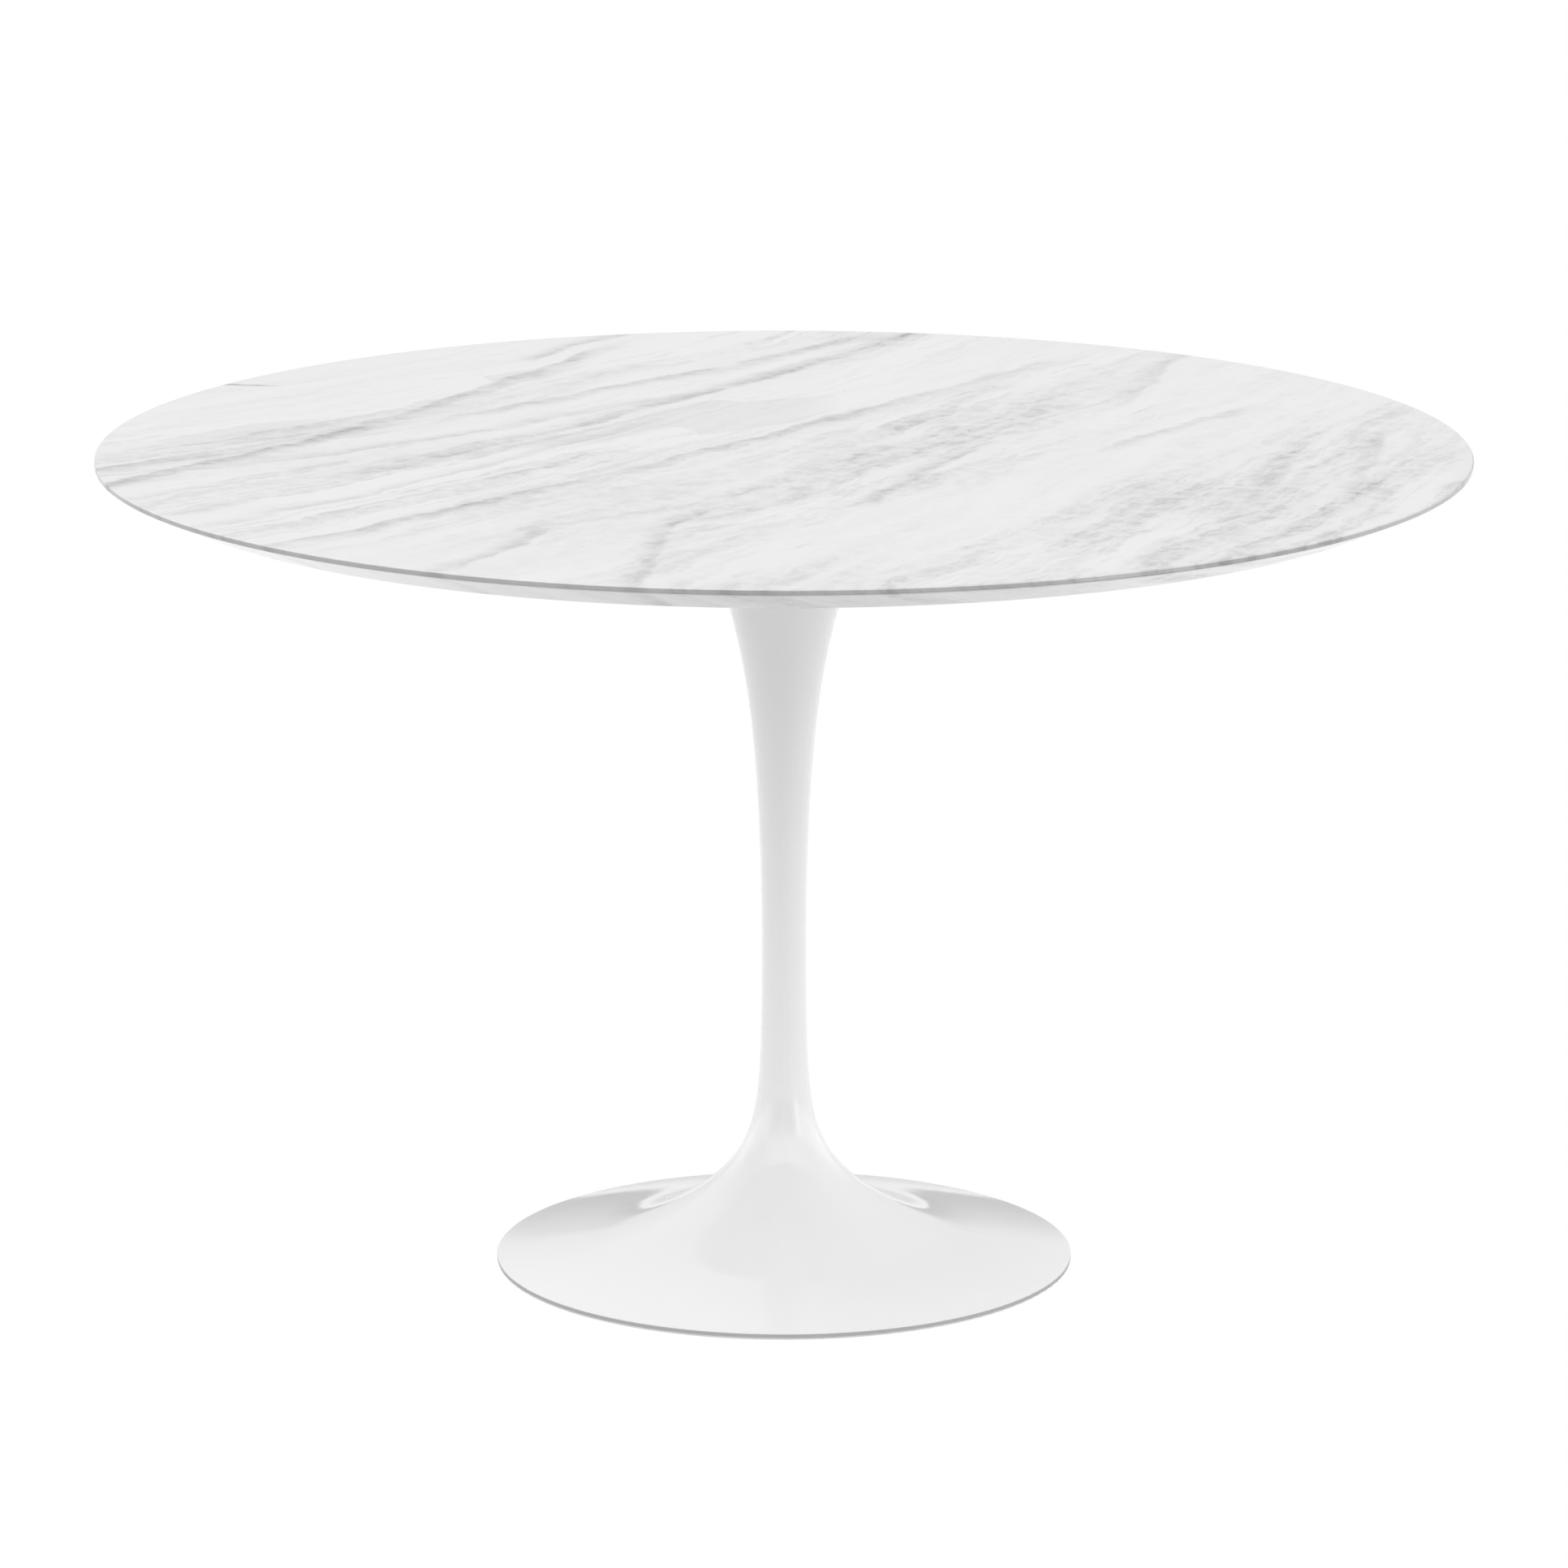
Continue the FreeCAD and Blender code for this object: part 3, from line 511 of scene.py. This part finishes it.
# Where the darker floor's middle is along x, and how far aside from there it starts to fade and has gone.
FRONT_CENTRE, FRONT_INNER, FRONT_OUTER = -0.15, 0.15, 1.0

# The studio's light by direction, as strengths: near the horizon, higher up, and overhead.
BACK_WALL, SIDE_WALL, FRONT_WALL = 0.82, 1.9, 0.08
LEFT_CEILING, RIGHT_CEILING, SIDE_CEILING, FRONT_CEILING = 1.19, 0.78, 0.98, 1.83
OVERHEAD = 1.64
# The elevations between which one gives way to the next.
CEILING_FROM, CEILING_FULL = 10, 28
OVERHEAD_FROM, OVERHEAD_FULL = 45, 65
# The same round the studio, in degrees from straight behind the table: back to side and side to front, for
# the walls and for the ceiling, and the left half of the ceiling to the right.
SIDE_WALL_COMES, FRONT_WALL_COMES = (20, 60), (110, 155)
SIDE_CEILING_COMES, FRONT_CEILING_COMES = (30, 75), (105, 150)
RIGHT_CEILING_COMES = (-6, 6)

# A dim board that stands behind the table, which only reflections see: its distance, half-width and height,
# its strength low down and high up and the heights of those, and how far aside it starts to fade and ends.
BOARD_DISTANCE, BOARD_HALF_WIDTH, BOARD_HEIGHT = 4.0, 0.86, 1.3
BOARD_LIGHT, BOARD_TOP_LIGHT = 0.3, 0.55
BOARD_LIGHT_HEIGHTS = (0.2, 1.0)
BOARD_INNER, BOARD_OUTER = 0.68, 0.84
# Where it ends above and how gradually, on its left and on its right, and where along x one becomes the
# other.
BOARD_TOPS = (1.0, 0.85)
BOARD_FADES = (0.07, 0.28)
BOARD_TURN = (-0.2, 0.2)

# A square softbox low on the right: where it stands, what it faces, its width, and its power in watts.
SOFTBOX_PLACE, SOFTBOX_TARGET = (1.9, -1.5, 0.5), (0, 0, 0.4)
SOFTBOX_SIZE = 0.8
SOFTBOX_POWER = 3.5


def make_floor():
    """A floor that glows as a painted light and is painted darker in front, as white to the camera as the
    background, and open to a camera that looks from below.
    """
    mesh = bpy.data.meshes.new("floor")
    shape = bmesh.new()
    bmesh.ops.create_circle(shape, cap_ends=True, segments=FLOOR_SEGMENTS, radius=FLOOR_RADIUS)
    shape.to_mesh(mesh)
    shape.free()
    floor = bpy.data.objects.new("floor", mesh)
    bpy.context.scene.collection.objects.link(floor)
    material, graph, shader = new_material("floor")
    seen = graph.node("ShaderNodeLightPath").outputs["Is Camera Ray"]
    geometry = graph.node("ShaderNodeNewGeometry")
    graph.feed(shader.inputs["Alpha"], graph.math("SUBTRACT", 1.0, geometry.outputs["Backfacing"]))
    x, y, z = graph.separate(geometry.outputs["Position"])
    glow = graph.ramp(y, SWEEP_FROM, SWEEP_FULL, FLOOR_GLOW, FLOOR_GLOW + SWEEP_GLOW)
    aside = graph.math("ABSOLUTE", graph.math("SUBTRACT", x, FRONT_CENTRE))
    in_front = graph.math("MULTIPLY", graph.ramp(aside, FRONT_INNER, FRONT_OUTER, 1.0, 0.0),
                          graph.ramp(y, -FRONT_FULL, -FRONT_FROM, 1.0, 0.0))
    # Painted shade on the floor in front, under the camera, in both its colour and its glow.
    shade = graph.blend(in_front, 1.0, FRONT_SHADE)
    white = graph.math("MULTIPLY", shade, FLOOR_WHITE)
    graph.feed(shader.inputs["Base Color"], graph.mix(seen, graph.combine(white, white, white), grey(0.0)))
    shine = graph.math("MAXIMUM", seen, graph.math("MULTIPLY", glow, shade))
    graph.feed(shader.inputs["Emission Strength"], shine)
    shader.inputs["Emission Color"].default_value = grey(1.0)
    shader.inputs["Roughness"].default_value = 1.0
    shader.inputs["Specular IOR Level"].default_value = 0.0
    mesh.materials.append(material)


def make_board():
    """The dim board behind the table, which the back of the foot mirrors; the camera doesn't see it."""
    mesh = bpy.data.meshes.new("board")
    left, right = -BOARD_HALF_WIDTH, BOARD_HALF_WIDTH
    corners = [(left, BOARD_DISTANCE, 0), (right, BOARD_DISTANCE, 0),
               (right, BOARD_DISTANCE, BOARD_HEIGHT), (left, BOARD_DISTANCE, BOARD_HEIGHT)]
    mesh.from_pydata(corners, [], [(0, 1, 2, 3)])
    board = bpy.data.objects.new("board", mesh)
    bpy.context.scene.collection.objects.link(board)
    board.visible_camera = False
    material, graph, shader = new_material("board")
    x, y, z = graph.separate(graph.node("ShaderNodeNewGeometry").outputs["Position"])
    top = graph.ramp(x, *BOARD_TURN, *BOARD_TOPS)
    fade = graph.ramp(x, *BOARD_TURN, *BOARD_FADES)
    within = graph.ramp(graph.math("ABSOLUTE", x), BOARD_INNER, BOARD_OUTER, 1.0, 0.0)
    under = graph.ramp(z, graph.math("SUBTRACT", top, fade), graph.math("ADD", top, fade), 1.0, 0.0)
    graph.feed(shader.inputs["Alpha"], graph.math("MULTIPLY", within, under))
    light = graph.ramp(z, *BOARD_LIGHT_HEIGHTS, BOARD_LIGHT, BOARD_TOP_LIGHT)
    graph.feed(shader.inputs["Emission Strength"], light)
    shader.inputs["Emission Color"].default_value = grey(1.0)
    shader.inputs["Base Color"].default_value = grey(0.0)
    shader.inputs["Specular IOR Level"].default_value = 0.0
    mesh.materials.append(material)


def make_world():
    """A white studio all round and overhead, dim low down where the camera stands."""
    world = bpy.data.worlds.new("studio")
    world.use_nodes = True
    bpy.context.scene.world = world
    graph = Graph(world.node_tree)
    x, y, z = graph.separate(graph.node("ShaderNodeTexCoord").outputs["Generated"])
    elevation = graph.math("DEGREES", graph.math("ARCSINE", z))
    # Degrees round from straight behind the table, positive to the right.
    azimuth = graph.math("DEGREES", graph.math("ARCTAN2", x, y))
    around = graph.math("ABSOLUTE", azimuth)

    wall = graph.blend(graph.ramp(around, *SIDE_WALL_COMES), BACK_WALL, SIDE_WALL)
    wall = graph.blend(graph.ramp(around, *FRONT_WALL_COMES), wall, FRONT_WALL)
    ceiling = graph.ramp(azimuth, *RIGHT_CEILING_COMES, LEFT_CEILING, RIGHT_CEILING)
    ceiling = graph.blend(graph.ramp(around, *SIDE_CEILING_COMES), ceiling, SIDE_CEILING)
    ceiling = graph.blend(graph.ramp(around, *FRONT_CEILING_COMES), ceiling, FRONT_CEILING)
    light = graph.blend(graph.ramp(elevation, CEILING_FROM, CEILING_FULL), wall, ceiling)
    light = graph.blend(graph.ramp(elevation, OVERHEAD_FROM, OVERHEAD_FULL), light, OVERHEAD)

    seen = graph.node("ShaderNodeLightPath").outputs["Is Camera Ray"]
    strength = graph.blend(seen, light, 1.0)
    background = graph.node("ShaderNodeBackground", {"Color": grey(1.0), "Strength": strength})
    output = graph.node("ShaderNodeOutputWorld")
    graph.feed(output.inputs["Surface"], background.outputs[0])


def make_softbox():
    """The softbox, aimed at the stem."""
    data = bpy.data.lights.new("softbox", "AREA")
    data.shape = "RECTANGLE"
    data.size = SOFTBOX_SIZE
    data.size_y = SOFTBOX_SIZE
    data.energy = SOFTBOX_POWER
    light = bpy.data.objects.new("softbox", data)
    light.location = SOFTBOX_PLACE
    light.rotation_mode = "QUATERNION"
    light.rotation_quaternion = (Vector(SOFTBOX_TARGET) - Vector(SOFTBOX_PLACE)).to_track_quat("-Z", "Y")
    bpy.context.scene.collection.objects.link(light)


# --- the object --------------------------------------------------------------------------------------------


def dress(node, material):
    """Gives a CAD node's object one material."""
    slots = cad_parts[node].material_slots
    for slot in slots:
        slot.link = "OBJECT"
        slot.material = material


def main():
    bpy.context.scene.view_settings.view_transform = "Standard"
    make_camera()
    make_world()
    make_floor()
    make_board()
    make_softbox()
    steel = steel_material("zinc_steel", 0.62, 0.3)
    rubber = rubber_material()
    looks = {
        "stone_top": marble_material(),
        "pedestal_casting": coated_material(),
        "top_spider": cast_iron_material(),
        "stone_inserts": brass_material(),
        "spring_washer": steel_material("spring_steel", 0.2, 0.4),
        "glide_ring": polymer_material(),
        "spider_pad": rubber,
        "mouth_gasket": rubber,
    }
    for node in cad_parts:
        dress(node, looks.get(node, steel))


main()
